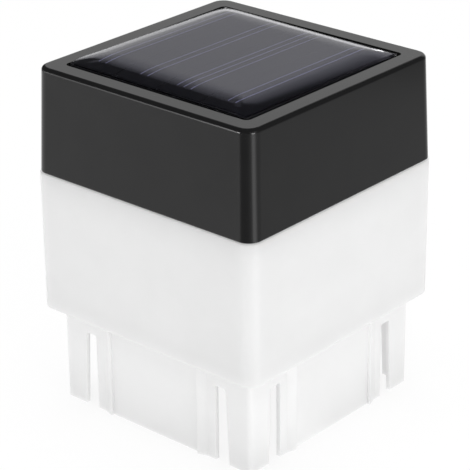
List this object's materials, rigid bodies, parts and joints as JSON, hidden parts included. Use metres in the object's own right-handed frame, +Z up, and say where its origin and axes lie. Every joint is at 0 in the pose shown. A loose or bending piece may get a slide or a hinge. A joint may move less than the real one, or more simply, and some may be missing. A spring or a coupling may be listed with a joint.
{
  "type": "solar fence post light",
  "caption": "Square solar post-cap light: black cap with a domed solar panel on a milky diffuser, whose slotted skirt plugs into a hollow square post.",
  "frame": {"origin": "middle of the square that the four corner legs of the skirt stand on, at the level of their lower ends", "axes": "+Z up through the cap and its solar panel; +X and +Y square to the sides; the cells of the panel run along Y"},
  "size_m": [0.0602, 0.0602, 0.079],
  "materials": {
    "cap_black": "satin moulded",
    "tape_black": "foam tape",
    "panel_board": "black solder mask",
    "silicon": "polycrystalline silicon",
    "ribbon_tin": "tinned copper ribbon",
    "epoxy_clear": "clear cast epoxy",
    "wire_red": "wire insulation",
    "wire_black": "wire insulation",
    "plate_white": "satin moulded",
    "screw_steel": "zinc plated",
    "board_green": "green solder mask",
    "led_lens": "clear cast lens",
    "lead_tin": "tinned",
    "switch_steel": "tinned frame",
    "switch_black": "moulded",
    "chip_black": "moulded package",
    "inductor_green": "lacquered",
    "battery": "shrink sleeve on a metal can",
    "contact_nickel": "nickel plated spring steel",
    "diffuser_milky": "milky translucent moulded"
  },
  "bodies": {
    "lower": {"diffuser": "diffuser_milky"},
    "head": {"cap_shell": "cap_black", "panel_adhesive": "tape_black", "panel_board": "panel_board", "solar_cell_1": "silicon", "solar_cell_2": "silicon", "solar_cell_3": "silicon", "solar_cell_4": "silicon", "cell_ribbons": "ribbon_tin", "panel_epoxy": "epoxy_clear", "panel_lead_red": "wire_red", "panel_lead_black": "wire_black", "base_plate": "plate_white", "base_screws": "screw_steel", "circuit_board": "board_green", "board_screws": "screw_steel", "led_left": "led_lens", "led_right": "led_lens", "led_left_legs": "lead_tin", "led_right_legs": "lead_tin", "switch_housing": "switch_steel", "driver_chip": "chip_black", "inductor": "inductor_green", "battery_cell": "battery", "contact_plus": "contact_nickel", "contact_minus": "contact_nickel", "battery_lead_red": "wire_red", "battery_lead_black": "wire_black"},
    "switch": {"switch_slider": "switch_black"}
  },
  "joints": [
    {"name": "head_lift", "type": "slide", "parent": "lower", "child": "head", "axis": [0, 0, 1], "range_m": [0, 0.03]},
    {"name": "switch_slide", "type": "slide", "parent": "head", "child": "switch", "axis": [1, 0, 0], "range_m": [0, 0.002]}
  ]
}
